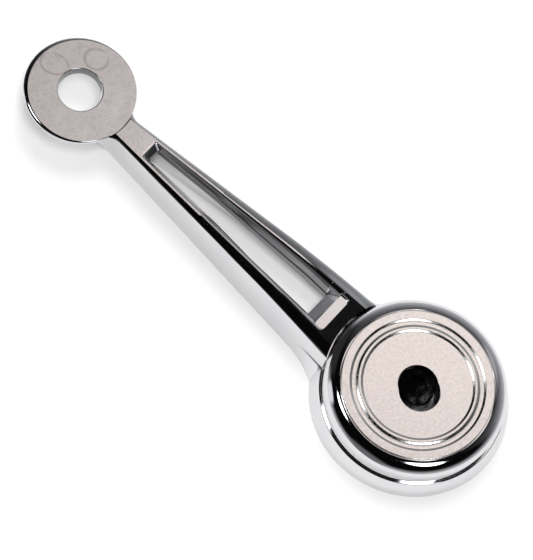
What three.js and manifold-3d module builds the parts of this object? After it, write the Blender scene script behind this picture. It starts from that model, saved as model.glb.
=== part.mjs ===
// Car window winder handle: arm casting, hub drum, face disc, splined bush, lock washer and screw.
// Millimetres. The hub axis is Z, the arm points along +X, and the back of the hub lies on Z = 0.
import * as THREE from 'three';
import { mergeVertices } from 'three/addons/utils/BufferGeometryUtils.js';
import Module from 'manifold-3d';

const wasm = await Module();
wasm.setup();

// Sizes that several pieces share
const centreDistance = 108.2;
const gap = 0.3;
const overrun = 1;
const roundSides = 96;

// Hub base, which is part of the arm casting
const skirtRadius = 24.5;
const skirtWall = 2.2;
const skirtFoot = 0.4;
const shoulderRound = 0.45;
const shoulderTurn = THREE.MathUtils.degToRad(58);
const skirtBulge = 0.3;
const baseHeight = 4.4;
const baseFloor = 2;
const bossRadius = 9.4;
const registerHeight = 1.3;
const registerWall = 1.5;

// Hub drum and the disc let into its top
const drumRadius = 22.3;
const drumWall = 2;
const drumRound = 3.1;
const drumRoundTurn = THREE.MathUtils.degToRad(81.4);
const drumBore = 7;
const drumRoof = 1.9;
const faceHeight = 11.6;
const discRadius = 18.66;
const discThickness = 1.1;
const discMargin = 0.14;
const discChamfer = 0.12;
const holeRadius = 4.95;
const stepDepth = 0.16;
const stepRadiiShares = [0.7165, 0.741, 0.778, 0.803, 0.861, 0.886];
const offsetBoreRadius = 5.05;
const offsetBoreShift = 1.65;
const offsetBoreTurn = THREE.MathUtils.degToRad(144);

// Splined bush, washer and retaining screw
const bushRadius = 7;
const bushLift = 0.5;
const bushFlangeRadius = 8.8;
const bushFlange = 1.2;
const bushNeckRadius = 5.8;
const bushTop = 6.6;
const bushWeb = 1.8;
const splineRadius = 4.7;
const splineDepth = 0.5;
const splineTeeth = 24;
const splineLandShare = 0.4;
const shankRadius = 3;
const shankPlay = 0.35;
const shankTip = 0.8;
const washerRadius = 4.75;
const washerHeight = 1.15;
const washerPlay = 0.3;
const washerSplit = 0.8;
const washerSplitTurn = THREE.MathUtils.degToRad(24);
const headRadius = 4.5;
const headHeight = 2.7;
const headChamfer = 0.45;
const hexAcrossFlats = 4.76;
const hexDepth = 1.7;

// Knob seat, the thin disc at the arm's end
const seatRadius = 13.8;
const seatFlatRadius = 13.35;
const seatShift = 0.45;
const seatTop = 11.3;
const seatThickness = 2.4;
const seatRim = 1.7;
const seatBackInset = 1.1;
const seatHoleRadius = 5.45;
const seatHoleChamfer = 0.25;
const seatHoleDraft = 0.3;

// Arm
const armTop = 11.6;
const fallStart = 46;
const fallFull = 36;
const fallSlopeShare = 0.09;
const neckTopHalf = 2.6;
const hubTopHalf = 6.35;
const topPowerShare = 0.9;
const neckShoulderHalf = 3.5;
const hubShoulderHalf = 9.2;
const shoulderDrop = 0.8;
const shoulderFall = 2.1;
const shoulderFallShare = 0.68;
const neckBaseHalf = 3.25;
const hubBaseHalf = 11.05;
const hubFlare = 1.5;
const flareStartShare = 0.879;
const creaseShare = 0.45;
const creaseHeight = 0.35;
const footChamfer = 0.4;
const neckFlare = 2.2;
const neckFlareLength = 4;
const armEndReach = 3.6;
const endRound = 4;
const endDraft = 0.2;
const armRootX = 14;

// Slot through the arm, its ledge and the hollow back
const slotStart = 86;
const slotEnd = 31.2;
const neckLand = 0.5;
const hubLand = 0.42;
const throatStartHalf = 1.55;
const throatHubHalf = 3.5;
const throatWideX = 39;
const slotFlareDepth = 1;
const slotFlareGrowth = 2.35;
const flareGrowShares = [0.3, 0.85];
const throatHeight = 1.9;
const throatGrowth = 0.8;
const slotEndSlope = 2.9;
const slotLip = 0.3;
const slotStartSlope = 1.6;
const ledgeHeight = 9.45;
const ledgeLength = 2.6;
const ledgeHalf = 5.05;
const ledgeRound = 1.1;
const backWall = 1.7;
const backNear = 28.2;
const backFar = 92;
const armStations = 40;

const chromeColour = 0xc9c6c4;
const satinColour = 0xd6cdca;
const steelColour = 0x8c8f92;
const blackColour = 0x17181a;

function solidFrom(geometry) {
  geometry.deleteAttribute('normal');
  geometry.deleteAttribute('uv');
  const merged = mergeVertices(geometry);
  const vertProperties = new Float32Array(merged.attributes.position.array);
  const triVerts = new Uint32Array(merged.index.array);
  return new wasm.Manifold(new wasm.Mesh({ numProp: 3, vertProperties, triVerts }));
}

function pieceFrom(name, solid, colour, roughness, metalness) {
  const found = solid.getMesh();
  const geometry = new THREE.BufferGeometry();
  geometry.setAttribute('position', new THREE.BufferAttribute(new Float32Array(found.vertProperties), 3));
  geometry.setIndex(new THREE.BufferAttribute(new Uint32Array(found.triVerts), 1));
  geometry.computeVertexNormals();
  const piece = new THREE.Mesh(geometry, new THREE.MeshStandardMaterial({ color: colour, roughness, metalness }));
  piece.name = name;
  return piece;
}

// A ring or disc turned about Z, from a closed list of [radius, height] points
function turned(points, sides = roundSides) {
  const outline = points.map(([radius, height]) => new THREE.Vector2(radius, height));
  outline.push(outline[0].clone());
  const geometry = new THREE.LatheGeometry(outline, sides);
  geometry.rotateX(Math.PI / 2);
  return solidFrom(geometry);
}

// A plain cylinder about Z between two heights
function rod(radius, low, high, x = 0, y = 0, topRadius = radius) {
  const geometry = new THREE.CylinderGeometry(topRadius, radius, high - low, roundSides);
  geometry.rotateX(Math.PI / 2);
  geometry.translate(x, y, (low + high) / 2);
  return solidFrom(geometry);
}

// A prism of a flat outline between two heights
function prism(shape, low, high) {
  const geometry = new THREE.ExtrudeGeometry(shape, { depth: high - low, bevelEnabled: false, curveSegments: 8 });
  geometry.translate(0, 0, low);
  return solidFrom(geometry);
}

// A closed skin over a row of rings that all have the same number of points, with flat end caps
function skinned(rings) {
  const count = rings[0].length;
  const points = rings.flat();
  const triangles = [];
  for (let row = 0; row < rings.length - 1; row += 1) {
    for (let k = 0; k < count; k += 1) {
      const next = (k + 1) % count;
      const near = row * count;
      const far = near + count;
      triangles.push([near + k, near + next, far + next], [near + k, far + next, far + k]);
    }
  }
  const last = (rings.length - 1) * count;
  capTriangles(rings[0]).forEach(([a, b, c]) => triangles.push([c, b, a]));
  capTriangles(rings[rings.length - 1]).forEach(([a, b, c]) => triangles.push([last + a, last + b, last + c]));
  const cross = new THREE.Vector3();
  const volume = triangles.reduce(
    (sum, [a, b, c]) => sum + points[a].dot(cross.crossVectors(points[b], points[c])), 0);
  const geometry = new THREE.BufferGeometry();
  geometry.setFromPoints(points);
  geometry.setIndex(triangles.flatMap(([a, b, c]) => (volume > 0 ? [a, b, c] : [c, b, a])));
  return solidFrom(geometry);
}

// Triangles that fill a flat ring, each turning the same way as the ring does
function capTriangles(ring) {
  const acrossX = ring.every((point) => point.x === ring[0].x);
  const flat = ring.map((point) => new THREE.Vector2(acrossX ? point.y : point.x, acrossX ? point.z : point.y));
  const ringTurn = THREE.ShapeUtils.isClockWise(flat);
  return THREE.ShapeUtils.triangulateShape(flat, []).map(([a, b, c]) => {
    const sameTurn = THREE.ShapeUtils.isClockWise([flat[a], flat[b], flat[c]]) === ringTurn;
    return sameTurn ? [a, b, c] : [c, b, a];
  });
}

const clamp = THREE.MathUtils.clamp;
const lerp = THREE.MathUtils.lerp;
const neckX = centreDistance - seatRadius;
const hubX = drumRadius;
const armEndX = neckX + armEndReach;

// Share of the way along the arm: 0 at the neck, 1 at the drum
function along(x) {
  return (neckX - x) / (neckX - hubX);
}

function topHeight(x) {
  const curved = clamp(fallStart - x, 0, fallStart - fallFull);
  const straight = Math.max(fallFull - x, 0);
  return armTop - fallSlopeShare * (curved ** 2 / (fallStart - fallFull) / 2 + straight);
}

function topHalf(x) {
  return neckTopHalf + (hubTopHalf - neckTopHalf) * Math.max(along(x), 0) ** topPowerShare;
}

function shoulderHalf(x) {
  const flare = clamp((x - neckX) / neckFlareLength + 0.5, 0, 1);
  return lerp(neckShoulderHalf, hubShoulderHalf, Math.max(along(x), 0)) + neckFlare * flare ** 2;
}

function shoulderHeight(x) {
  const share = clamp((along(x) - shoulderFallShare) / (1 - shoulderFallShare), 0, 1);
  return armTop - shoulderDrop - shoulderFall * share ** 1.5;
}

function flareAt(x) {
  return hubFlare * clamp((along(x) - flareStartShare) / (1 - flareStartShare), 0, 2) ** 2.2;
}

// Height of the arm's underside, which rises in a round to the knob seat at the arm's end
function underside(x) {
  if (x < armEndX) return 0;
  const share = clamp((armEndX + endDraft + endRound - x) / endRound, -1, 1);
  const low = seatTop - seatThickness - endRound;
  return low + endRound * Math.sqrt(Math.max(1 - share ** 2, 0));
}

// One cross-section of the arm, round the outline from the left foot to the right foot
function armSection(x) {
  const top = topHeight(x);
  const half = topHalf(x);
  const shoulder = shoulderHalf(x);
  const edge = shoulderHeight(x);
  const straightBase = lerp(neckBaseHalf, hubBaseHalf, Math.max(along(x), 0));
  const flare = flareAt(x);
  const low = underside(x);
  const seamHeight = Math.max(baseHeight, low + footChamfer + creaseHeight);
  const seamHalf = lerp(straightBase, shoulder, seamHeight / edge);
  const crease = creaseShare * flare;
  const foot = straightBase + flare;
  const side = [[half, top]];
  const crownPoints = 4;
  for (let k = 1; k <= crownPoints; k += 1) {
    const turn = k / crownPoints * Math.PI / 2;
    const out = half + (shoulder - half) * Math.sin(turn) * lerp(k / crownPoints, 1, k / crownPoints);
    side.push([out, edge + (top - edge) * Math.cos(turn)]);
  }
  side.push([seamHalf, seamHeight]);
  side.push([seamHalf + crease, seamHeight - creaseHeight]);
  side.push([foot, low + footChamfer]);
  side.push([foot - footChamfer, low]);
  const left = side.map(([y, z]) => new THREE.Vector3(x, y, z));
  const right = side.map(([y, z]) => new THREE.Vector3(x, -y, z)).reverse();
  return left.concat(right);
}

function armStationList() {
  const stations = [];
  for (let k = 0; k <= armStations; k += 1) {
    stations.push(lerp(armRootX, armEndX, k / armStations));
  }
  const roundSteps = 6;
  for (let k = 0; k <= roundSteps; k += 1) {
    const turn = k / roundSteps * Math.PI / 2;
    stations.push(armEndX + endDraft + endRound * (1 - Math.cos(turn)));
  }
  stations.push(fallStart, fallFull);
  return stations.sort((a, b) => a - b);
}

function slotTopHalf(x) {
  const share = clamp((slotStart - x) / (slotStart - slotEnd), 0, 1);
  return topHalf(x) - lerp(hubLand, neckLand, (1 - share) ** 3);
}

function throatHalf(x) {
  const share = clamp((slotStart - x) / (slotStart - throatWideX), 0, 1);
  return lerp(throatStartHalf, throatHubHalf, share);
}

function throatTop(x) {
  const share = clamp((slotStart - x) / (slotStart - slotEnd), 0, 1);
  const [growFrom, growTo] = flareGrowShares;
  return topHeight(x) - slotFlareDepth - slotFlareGrowth * THREE.MathUtils.smoothstep(share, growFrom, growTo);
}

function throatBottom(x) {
  const share = clamp((slotStart - x) / (slotStart - slotEnd), 0, 1);
  return throatTop(x) - throatHeight - throatGrowth * share;
}

// The slot from above: flared walls down to the throat, then straight through to the hollow back
function slotTool() {
  const ledgeEdge = slotEnd - slotEndSlope;
  const between = armStationList().filter((x) => x > ledgeEdge && x < slotStart && x !== slotEnd);
  const stations = [ledgeEdge, slotEnd, slotStart].concat(between).sort((a, b) => a - b);
  return skinned(stations.map((x) => {
    const top = topHeight(x);
    const wide = slotTopHalf(x);
    const lean = (wide - throatHalf(x)) / (top - throatTop(x));
    const inset = clamp((x - ledgeEdge) / slotEndSlope, 0, 1);
    const low = lerp(ledgeHeight - slotLip, throatTop(x), inset);
    const narrow = wide - lean * (top - low);
    const over = lean * overrun;
    return [
      new THREE.Vector3(x, narrow, low),
      new THREE.Vector3(x, wide + over, top + overrun),
      new THREE.Vector3(x, -wide - over, top + overrun),
      new THREE.Vector3(x, -narrow, low),
    ];
  }));
}

function throatTool() {
  const rings = [slotEnd, throatWideX, slotStart - slotStartSlope].map((x) => {
    const half = throatHalf(x);
    const high = throatTop(x) + overrun;
    return [
      new THREE.Vector3(x, half, 0),
      new THREE.Vector3(x, half, high),
      new THREE.Vector3(x, -half, high),
      new THREE.Vector3(x, -half, 0),
    ];
  });
  return skinned(rings);
}

// The hollow in the arm's back
function backTool() {
  const rings = [];
  const steps = 12;
  for (let k = 0; k <= steps; k += 1) {
    const x = lerp(backNear, backFar, k / steps);
    const high = throatBottom(x);
    const roof = shoulderHalf(x) - backWall;
    const foot = lerp(neckBaseHalf, hubBaseHalf, Math.max(along(x), 0)) - backWall;
    rings.push([
      new THREE.Vector3(x, foot, -overrun),
      new THREE.Vector3(x, roof, high - gap),
      new THREE.Vector3(x, roof - gap, high),
      new THREE.Vector3(x, gap - roof, high),
      new THREE.Vector3(x, -roof, high - gap),
      new THREE.Vector3(x, -foot, -overrun),
    ]);
  }
  return skinned(rings);
}

// The flat ledge at the slot's wide end, with its two round corners toward the hub
function ledgeTool() {
  const roundX = slotEnd - slotEndSlope - ledgeLength + ledgeRound;
  const shape = new THREE.Shape();
  shape.moveTo(slotEnd, -ledgeHalf);
  shape.lineTo(slotEnd, ledgeHalf);
  shape.lineTo(roundX, ledgeHalf);
  shape.absarc(roundX, ledgeHalf - ledgeRound, ledgeRound, Math.PI / 2, Math.PI, false);
  shape.absarc(roundX, ledgeRound - ledgeHalf, ledgeRound, Math.PI, Math.PI * 1.5, false);
  return prism(shape, ledgeHeight, armTop + overrun);
}

// The knob seat: a thin-rimmed disc whose flat top lies a little toward the hub, so its tip rolls over wider
function knobSeat() {
  const rings = [];
  const ring = (radius, x, z) => {
    const points = [];
    for (let k = 0; k < roundSides; k += 1) {
      const turn = k / roundSides * Math.PI * 2;
      points.push(new THREE.Vector3(x + radius * Math.cos(turn), radius * Math.sin(turn), z));
    }
    return points;
  };
  const middle = seatTop - seatRim / 2;
  const roundSteps = 5;
  rings.push(ring(seatFlatRadius - seatBackInset, centreDistance, seatTop - seatThickness));
  for (let k = -roundSteps; k <= roundSteps; k += 1) {
    const turn = k / roundSteps * Math.PI / 2;
    const share = 1 - Math.cos(turn);
    const shift = k > 0 ? seatShift * share : 0;
    const radius = lerp(seatRadius, seatFlatRadius, share);
    rings.push(ring(radius, centreDistance - shift, middle + seatRim / 2 * Math.sin(turn)));
  }
  return skinned(rings);
}

function seatHole() {
  const low = seatTop - seatThickness - overrun;
  const hole = rod(seatHoleRadius - seatHoleDraft, low, seatTop + overrun, centreDistance, 0, seatHoleRadius);
  const wide = seatHoleRadius + seatHoleChamfer + overrun;
  const lead = rod(seatHoleRadius, seatTop - seatHoleChamfer, seatTop + overrun, centreDistance, 0, wide);
  return hole.add(lead);
}

// The hub base: a skirt that widens downward from a small shoulder, a register ring and a boss
function hubBase() {
  const registerRadius = drumRadius - drumWall - gap;
  const shoulderRadius = drumRadius + gap;
  const shoulder = [];
  const shoulderSteps = 8;
  for (let k = 0; k <= shoulderSteps; k += 1) {
    const turn = k / shoulderSteps * shoulderTurn;
    shoulder.push([
      shoulderRadius + shoulderRound * Math.sin(turn),
      baseHeight - shoulderRound * (1 - Math.cos(turn)),
    ]);
  }
  const [coneRadius, coneHeight] = shoulder[shoulderSteps];
  for (let k = 1; k <= shoulderSteps; k += 1) {
    const share = k / shoulderSteps;
    const bulge = skirtBulge * Math.sin(share * Math.PI);
    shoulder.push([lerp(coneRadius, skirtRadius, share) + bulge, lerp(coneHeight, skirtFoot, share)]);
  }
  shoulder.reverse();
  return turned([
    [bushRadius + gap, 0],
    [bossRadius, 0],
    [bossRadius, baseHeight - baseFloor],
    [skirtRadius - skirtWall, baseHeight - baseFloor],
    [skirtRadius - skirtWall, 0],
    [skirtRadius - skirtFoot, 0],
    ...shoulder,
    [registerRadius, baseHeight],
    [registerRadius, baseHeight + registerHeight],
    [registerRadius - registerWall, baseHeight + registerHeight],
    [registerRadius - registerWall, baseHeight],
    [bushRadius + gap, baseHeight],
  ]);
}

function handleArm() {
  let arm = skinned(armStationList().map(armSection));
  const drumRoom = rod(drumRadius + gap, baseHeight, armTop + overrun);
  arm = arm.subtract(drumRoom);
  const hubRoom = rod(skirtRadius - skirtWall, -overrun, baseHeight - baseFloor);
  arm = arm.subtract(hubRoom);
  const bushRoom = rod(bossRadius, -overrun, armTop);
  arm = arm.subtract(bushRoom);
  arm = arm.subtract(rod(seatRadius, seatTop, armTop + overrun, centreDistance));
  arm = arm.add(knobSeat());
  arm = arm.add(hubBase());
  arm = arm.subtract(slotTool());
  arm = arm.subtract(throatTool());
  arm = arm.subtract(ledgeTool());
  arm = arm.subtract(backTool());
  arm = arm.subtract(seatHole());
  return pieceFrom('handle_arm', arm, chromeColour, 0.12, 1);
}

// The drum: a round-shouldered cup with a shallow seat in its top for the face disc
function hubDrum() {
  const discSeat = faceHeight - discThickness;
  const rimTop = faceHeight - discMargin;
  const round = [];
  const roundSteps = 10;
  const roundAcross = (drumRadius - discRadius - gap) / (1 - Math.cos(drumRoundTurn));
  for (let k = 0; k <= roundSteps; k += 1) {
    const turn = k / roundSteps * drumRoundTurn;
    round.push([
      drumRadius - roundAcross * (1 - Math.cos(turn)),
      rimTop - drumRound * (1 - Math.sin(turn) / Math.sin(drumRoundTurn)),
    ]);
  }
  const drum = turned([
    [drumRadius - drumWall, baseHeight],
    [drumRadius, baseHeight],
    ...round,
    [discRadius + gap, discSeat],
    [drumBore, discSeat],
    [drumBore, discSeat - drumRoof],
    [drumRadius - drumWall, discSeat - drumRoof],
  ]);
  return pieceFrom('hub_drum', drum, chromeColour, 0.1, 1);
}

// The face disc: low middle, raised ring and raised rim, and a centre hole drilled twice, once out of true
function faceDisc() {
  const low = faceHeight - discThickness;
  const stepRadii = stepRadiiShares.map((share) => share * discRadius);
  const middle = faceHeight - stepDepth;
  const stepHeights = [stepDepth, 0, 0, stepDepth, stepDepth, 0].map((fall) => faceHeight - fall);
  let disc = turned([
    [holeRadius, low],
    [discRadius, low],
    [discRadius, faceHeight - discChamfer],
    [discRadius - discChamfer, faceHeight],
    ...stepRadii.map((radius, k) => [radius, stepHeights[k]]).reverse(),
    [holeRadius, middle],
  ]);
  const x = offsetBoreShift * Math.cos(offsetBoreTurn);
  const y = offsetBoreShift * Math.sin(offsetBoreTurn);
  disc = disc.subtract(rod(offsetBoreRadius, low - overrun, faceHeight + overrun, x, y));
  return pieceFrom('face_disc', disc, satinColour, 0.35, 1);
}

// The serrated socket takes the regulator shaft from the back
function splinedBush() {
  const flangeTop = baseHeight + bushFlange;
  const webBottom = bushTop - bushWeb;
  let bush = turned([
    [shankRadius + shankPlay, bushLift],
    [bushRadius, bushLift],
    [bushRadius, baseHeight],
    [bushFlangeRadius, baseHeight],
    [bushFlangeRadius, flangeTop],
    [bushNeckRadius, flangeTop],
    [bushNeckRadius, bushTop],
    [shankRadius + shankPlay, bushTop],
  ], roundSides / 2);
  const shape = new THREE.Shape();
  for (let tooth = 0; tooth < splineTeeth; tooth += 1) {
    const corners = [
      [0, splineRadius],
      [splineLandShare, splineRadius],
      [(1 + splineLandShare) / 2, splineRadius + splineDepth],
    ];
    corners.forEach(([share, radius], k) => {
      const turn = (tooth + share) / splineTeeth * Math.PI * 2;
      const x = radius * Math.cos(turn);
      const y = radius * Math.sin(turn);
      if (tooth === 0 && k === 0) shape.moveTo(x, y);
      else shape.lineTo(x, y);
    });
  }
  shape.closePath();
  bush = bush.subtract(prism(shape, bushLift - overrun, webBottom));
  return pieceFrom('splined_bush', bush, steelColour, 0.4, 1);
}

// Spring lock washer with its split
function lockWasher() {
  const high = bushTop + washerHeight;
  let washer = turned([
    [shankRadius + washerPlay, bushTop],
    [washerRadius, bushTop],
    [washerRadius, high],
    [shankRadius + washerPlay, high],
  ], roundSides / 2);
  const length = washerRadius + overrun;
  const cut = new THREE.BoxGeometry(length, washerSplit, washerHeight + overrun + overrun);
  cut.translate(length / 2, 0, (bushTop + high) / 2);
  cut.rotateZ(washerSplitTurn);
  washer = washer.subtract(solidFrom(cut));
  return pieceFrom('lock_washer', washer, steelColour, 0.35, 1);
}

// The retaining screw: shank, head with a chamfered edge and a hexagon socket
function retainingScrew() {
  const seat = bushTop + washerHeight;
  const top = seat + headHeight;
  let screw = turned([
    [0, shankTip],
    [shankRadius - headChamfer, shankTip],
    [shankRadius, shankTip + headChamfer],
    [shankRadius, seat],
    [headRadius, seat],
    [headRadius, top - headChamfer],
    [headRadius - headChamfer, top],
    [0, top],
  ], roundSides / 2);
  const socket = new THREE.CylinderGeometry(
    hexAcrossFlats / Math.sqrt(3), hexAcrossFlats / Math.sqrt(3), hexDepth + overrun, 6);
  socket.rotateX(Math.PI / 2);
  socket.translate(0, 0, top - hexDepth + (hexDepth + overrun) / 2);
  screw = screw.subtract(solidFrom(socket));
  return pieceFrom('retaining_screw', screw, blackColour, 0.5, 0.6);
}

const handle = new THREE.Group();
handle.add(handleArm());
handle.add(hubDrum());
handle.add(faceDisc());
handle.add(splinedBush());
handle.add(lockWasher());
handle.add(retainingScrew());

export default handle;
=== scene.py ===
import math
import bpy
from mathutils import Matrix, Vector


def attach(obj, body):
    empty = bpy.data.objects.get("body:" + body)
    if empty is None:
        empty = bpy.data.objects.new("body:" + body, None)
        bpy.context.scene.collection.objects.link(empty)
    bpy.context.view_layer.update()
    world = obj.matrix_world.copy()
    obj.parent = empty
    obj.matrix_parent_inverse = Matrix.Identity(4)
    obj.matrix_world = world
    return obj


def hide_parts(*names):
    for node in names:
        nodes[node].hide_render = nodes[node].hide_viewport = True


# Car window winder handle: chrome arm and hub, face disc and black screw on a white floor.
# Lengths in the dictionaries are in millimetres, as in the CAD, and turn to metres at the mesh.
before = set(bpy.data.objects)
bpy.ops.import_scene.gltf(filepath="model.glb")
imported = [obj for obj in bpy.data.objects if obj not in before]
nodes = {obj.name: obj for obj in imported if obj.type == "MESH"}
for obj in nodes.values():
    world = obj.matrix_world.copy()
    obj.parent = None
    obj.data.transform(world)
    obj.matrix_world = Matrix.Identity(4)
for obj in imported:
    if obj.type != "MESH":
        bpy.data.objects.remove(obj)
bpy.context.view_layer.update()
mm = 0.001
weld = 1e-6
# Degrees between the points of a rounded corner, and how far cutting tools reach past the piece
turnStep = 9
past = 1
wellPast = 1.5


def lerp(low, high, share):
    return low + (high - low) * share


def clamp(value, low=0.0, high=1.0):
    return max(low, min(high, value))


# Mesh tools
def letGo():
    if bpy.context.mode != "OBJECT":
        bpy.ops.object.mode_set(mode="OBJECT")
    bpy.ops.object.select_all(action="DESELECT")


def pickOnly(piece):
    letGo()
    piece.select_set(True)
    bpy.context.view_layer.objects.active = piece


def closeUp(piece):
    pickOnly(piece)
    bpy.ops.object.mode_set(mode="EDIT")
    bpy.ops.mesh.select_all(action="SELECT")
    bpy.ops.mesh.remove_doubles(threshold=weld)
    bpy.ops.mesh.fill_holes(sides=0)
    bpy.ops.mesh.select_all(action="SELECT")
    bpy.ops.mesh.normals_make_consistent(inside=False)
    bpy.ops.object.mode_set(mode="OBJECT")


# Turned about Z from (radius, height) points; a ring's outline closes on itself
def turnedPiece(name, outline, sides=256, x=0.0, y=0.0, solid=False):
    letGo()
    centre = (x * mm, y * mm, 0)
    radius, height = outline[0]
    bpy.ops.mesh.primitive_circle_add(
        vertices=sides, radius=radius * mm, fill_type="NGON" if solid else "NOTHING",
        location=(x * mm, y * mm, height * mm))
    piece = bpy.context.active_object
    piece.name = name
    bpy.ops.object.transform_apply(location=True, rotation=True, scale=True)
    bpy.ops.object.mode_set(mode="EDIT")
    bpy.ops.mesh.select_all(action="SELECT")
    rest = outline[1:] if solid else outline[1:] + outline[:1]
    for newRadius, newHeight in rest:
        bpy.ops.mesh.extrude_region_move(
            TRANSFORM_OT_translate={"value": (0, 0, (newHeight - height) * mm)})
        if newRadius != radius:
            share = newRadius / radius
            bpy.ops.transform.resize(value=(share, share, 1), center_override=centre)
        radius, height = newRadius, newHeight
    bpy.ops.object.mode_set(mode="OBJECT")
    closeUp(piece)
    return piece


# A closed skin over rings that all have the same number of points
def loftPiece(name, rings):
    letGo()
    count = len(rings[0])
    rows = len(rings) - 1
    bpy.ops.mesh.primitive_grid_add(x_subdivisions=count, y_subdivisions=rows, size=2)
    piece = bpy.context.active_object
    piece.name = name
    for vertex in piece.data.vertices:
        column = round((vertex.co.x + 1) / 2 * count)
        row = round((vertex.co.y + 1) / 2 * rows)
        vertex.co = Vector(rings[row][column % count]) * mm
    closeUp(piece)
    return piece


def joinWith(piece, tool, how):
    pickOnly(piece)
    cut = piece.modifiers.new("cut", "BOOLEAN")
    cut.operation = how
    cut.solver = "EXACT"
    cut.object = tool
    bpy.ops.object.modifier_apply(modifier=cut.name)
    bpy.data.objects.remove(tool, do_unlink=True)


def cutOff(piece, tool):
    joinWith(piece, tool, "DIFFERENCE")


def addOn(piece, tool):
    joinWith(piece, tool, "UNION")


def finishPiece(piece, body, node, angle=28):
    pickOnly(piece)
    bpy.ops.object.shade_smooth_by_angle(angle=math.radians(angle))
    even = piece.modifiers.new("even", "WEIGHTED_NORMAL")
    even.mode = "FACE_AREA"
    even.keep_sharp = True
    bpy.ops.object.modifier_apply(modifier=even.name)
    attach(piece, body)
    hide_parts(node)
    print(piece.name, "faces", len(piece.data.polygons))


# Points of an arc between two angles in degrees
def arc(x, y, radius, start, end, steps):
    angles = [math.radians(lerp(start, end, k / steps)) for k in range(steps + 1)]
    return [(x + radius * math.cos(a), y + radius * math.sin(a)) for a in angles]


# An open outline with its inner corners rounded by a length of run, which stays under half a side
def softened(points, run, steps=3, sideParts=2.01):
    soft = [points[0]]
    for before, corner, after in zip(points, points[1:], points[2:]):
        at = Vector(corner)
        back = Vector(before) - at
        ahead = Vector(after) - at
        reach = min(run, back.length / sideParts, ahead.length / sideParts)
        start = at + back.normalized() * reach
        end = at + ahead.normalized() * reach
        for k in range(steps + 1):
            share = k / steps
            point = start.lerp(at, share).lerp(at.lerp(end, share), share)
            soft.append((point.x, point.y))
    soft.append(points[-1])
    return soft


# Sizes that more than one piece reads
hub = {
    "drumRadius": 22.3,
    "drumBase": 4.4,
    "gap": 0.3,
    "faceHeight": 11.6,
    "discRadius": 18.66,
}

# Arm casting
arm = {
    "centreDistance": 108.2, "seatRadius": 13.8,
    "top": 11.6, "fallStart": 46, "fallFull": 36, "fallSlope": 0.09,
    "neckTopHalf": 2.6, "hubTopHalf": 6.35, "topPower": 0.9,
    "neckShoulderHalf": 3.5, "hubShoulderHalf": 9.2,
    "shoulderDrop": 0.8, "shoulderFall": 2.1, "shoulderFallShare": 0.68, "shoulderPower": 1.5,
    "neckBaseHalf": 3.25, "hubBaseHalf": 11.05,
    "hubFlare": 1.5, "flareStart": 0.879, "flarePower": 2.2, "creaseShare": 0.45, "creaseHeight": 1.2,
    "foot": 0.4, "neckFlare": 2.2, "neckFlareLength": 4,
    "endReach": 3.6, "endRound": 4, "endDraft": 0.2, "root": 14,
    "seatTop": 11.3, "seatThickness": 2.4,
    "stations": 90, "crownPoints": 14,
}
neckX = arm["centreDistance"] - arm["seatRadius"]
hubX = hub["drumRadius"]
armEndX = neckX + arm["endReach"]


def along(x):
    return (neckX - x) / (neckX - hubX)


def topHeight(x):
    run = arm["fallStart"] - arm["fallFull"]
    curved = clamp(arm["fallStart"] - x, 0, run)
    straight = max(arm["fallFull"] - x, 0)
    return arm["top"] - arm["fallSlope"] * (curved ** 2 / run / 2 + straight)


def topHalf(x):
    return lerp(arm["neckTopHalf"], arm["hubTopHalf"], max(along(x), 0) ** arm["topPower"])


def shoulderHalf(x):
    flare = clamp((x - neckX) / arm["neckFlareLength"] + 0.5)
    straight = lerp(arm["neckShoulderHalf"], arm["hubShoulderHalf"], max(along(x), 0))
    return straight + arm["neckFlare"] * flare ** 2


def shoulderHeight(x):
    share = clamp((along(x) - arm["shoulderFallShare"]) / (1 - arm["shoulderFallShare"]))
    return arm["top"] - arm["shoulderDrop"] - arm["shoulderFall"] * share ** arm["shoulderPower"]


def baseHalf(x):
    return lerp(arm["neckBaseHalf"], arm["hubBaseHalf"], max(along(x), 0))


def flareAt(x):
    share = clamp((along(x) - arm["flareStart"]) / (1 - arm["flareStart"]), 0, 2)
    return arm["hubFlare"] * share ** arm["flarePower"]


def underside(x):
    if x < armEndX:
        return 0.0
    share = clamp((armEndX + arm["endDraft"] + arm["endRound"] - x) / arm["endRound"], -1, 1)
    low = arm["seatTop"] - arm["seatThickness"] - arm["endRound"]
    return low + arm["endRound"] * math.sqrt(max(1 - share ** 2, 0))


def armSection(x):
    top = topHeight(x)
    half = topHalf(x)
    shoulder = shoulderHalf(x)
    edge = shoulderHeight(x)
    low = underside(x)
    flare = flareAt(x)
    seamHeight = max(hub["drumBase"], low + arm["foot"] + arm["creaseHeight"])
    seamHalf = lerp(baseHalf(x), shoulder, seamHeight / edge)
    foot = baseHalf(x) + flare
    side = [(half, top)]
    for k in range(1, arm["crownPoints"] + 1):
        share = k / arm["crownPoints"]
        turn = share * math.pi / 2
        out = half + (shoulder - half) * math.sin(turn) * lerp(share, 1, share)
        side.append((out, edge + (top - edge) * math.cos(turn)))
    side.append((seamHalf, seamHeight))
    side.append((seamHalf + arm["creaseShare"] * flare, seamHeight - arm["creaseHeight"]))
    side.append((foot, low + arm["foot"]))
    side.append((foot - arm["foot"], low))
    left = [(x, y, z) for y, z in side]
    right = [(x, -y, z) for y, z in reversed(side)]
    return left + right


def armStations():
    places = [lerp(arm["root"], armEndX, k / arm["stations"]) for k in range(arm["stations"] + 1)]
    places += [armEndX + arm["endDraft"] + arm["endRound"] * (1 - math.cos(math.radians(turnStep * k)))
               for k in range(90 // turnStep + 1)]
    places += [arm["fallStart"], arm["fallFull"]]
    return sorted(places)


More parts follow.
